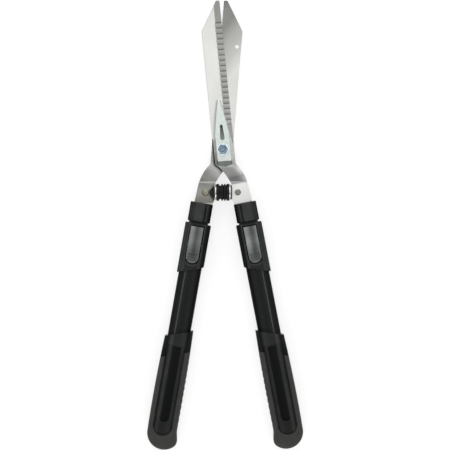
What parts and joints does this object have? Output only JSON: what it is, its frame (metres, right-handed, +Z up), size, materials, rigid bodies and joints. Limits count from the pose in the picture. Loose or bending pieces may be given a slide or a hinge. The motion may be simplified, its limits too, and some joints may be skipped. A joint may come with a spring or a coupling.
{
  "type": "hedge shears",
  "caption": "Two-handed hedge shears with a wavy cutting edge, ribbed bumper and telescopic oval handles with thumb locks and soft grips.",
  "frame": {"origin": "bottom centre of the closed tool as it lies flat; the blade pivot's axis stands at x 0, y +0.1126", "axes": "+Y along the centre line from the grips to the blade tips, +X to the right with the tension plate upwards, +Z up, square to the blades"},
  "size_m": [0.2334, 0.6718, 0.0357],
  "materials": {
    "black_plastic": "moulded",
    "black_tube": "black anodised, semi-gloss",
    "blackened_steel": "blackened steel pin",
    "blue_zinc": "blue passivated zinc",
    "bright_blade": "bright ground steel, fine brushing across the bevel",
    "bumper_rubber": "moulded, ribbed",
    "charcoal_plastic": "moulded, satin",
    "core_plastic": "hard plastic, satin",
    "grey_blade": "ground steel, satin",
    "grip_rubber": "soft overmoulded rubber, matt",
    "housing_plastic": "moulded, satin black",
    "inner_black_tube": "black anodised, satin",
    "lever_plastic": "dark grey, semi-gloss",
    "pale_zinc": "pale greenish-white zinc plate, satin",
    "spring_steel": "oiled spring steel",
    "zinc_steel": "zinc plated"
  },
  "bodies": {
    "rear_half": {"rear_blade": "grey_blade", "pivot_bolt": "zinc_steel", "pivot_washer": "zinc_steel", "pivot_nut": "blue_zinc", "bumper_seat": "black_plastic", "bumper_stud": "zinc_steel", "bumper_washer_left": "zinc_steel", "bumper_rubber": "bumper_rubber", "bumper_washer_right": "zinc_steel", "seat_rivet": "zinc_steel", "left_collar": "charcoal_plastic", "left_inner_tube": "inner_black_tube", "left_tang_insert": "black_plastic", "left_tang_pins": "zinc_steel", "left_slide_bush": "black_plastic"},
    "front_half": {"front_blade": "bright_blade", "tension_plate": "pale_zinc", "disc_spring": "spring_steel", "bumper_stop": "bumper_rubber", "stop_bolt": "zinc_steel", "stop_nut": "zinc_steel", "right_collar": "charcoal_plastic", "right_inner_tube": "inner_black_tube", "right_tang_insert": "black_plastic", "right_tang_pins": "zinc_steel", "right_slide_bush": "black_plastic"},
    "left_handle": {"left_outer_tube": "black_tube", "left_lock_housing": "housing_plastic", "left_housing_screw": "zinc_steel", "left_lever_pin": "blackened_steel", "left_lever_spring": "spring_steel", "left_grip_core": "core_plastic", "left_grip_sleeve": "grip_rubber"},
    "left_lever": {"left_lock_lever": "lever_plastic", "left_lock_shoe": "bumper_rubber"},
    "right_handle": {"right_outer_tube": "black_tube", "right_lock_housing": "housing_plastic", "right_housing_screw": "zinc_steel", "right_lever_pin": "blackened_steel", "right_lever_spring": "spring_steel", "right_grip_core": "core_plastic", "right_grip_sleeve": "grip_rubber"},
    "right_lever": {"right_lock_lever": "lever_plastic", "right_lock_shoe": "bumper_rubber"}
  },
  "joints": [
    {"name": "blade_pivot", "type": "hinge", "parent": "rear_half", "child": "front_half", "pos_m": [0, 0.11264, 0.0165], "axis": [0, 0, 1], "range_deg": [0, 55]},
    {"name": "left_extension", "type": "slide", "parent": "rear_half", "child": "left_handle", "axis": [-0.1805, -0.9836, 0], "range_m": [0, 0.19]},
    {"name": "left_lock", "type": "hinge", "parent": "left_handle", "child": "left_lever", "pos_m": [-0.04344, -0.02972, 0.0333], "axis": [0.9836, -0.1805, 0], "range_deg": [0, 5], "stiffness_Nm_per_rad": 0.5, "springref_deg": -5.73, "deforming": ["left_lever_spring"]},
    {"name": "right_extension", "type": "slide", "parent": "front_half", "child": "right_handle", "axis": [0.1805, -0.9836, 0], "range_m": [0, 0.19]},
    {"name": "right_lock", "type": "hinge", "parent": "right_handle", "child": "right_lever", "pos_m": [0.04344, -0.02972, 0.0333], "axis": [0.9836, 0.1805, 0], "range_deg": [0, 5], "stiffness_Nm_per_rad": 0.5, "springref_deg": -5.73, "deforming": ["right_lever_spring"]}
  ]
}
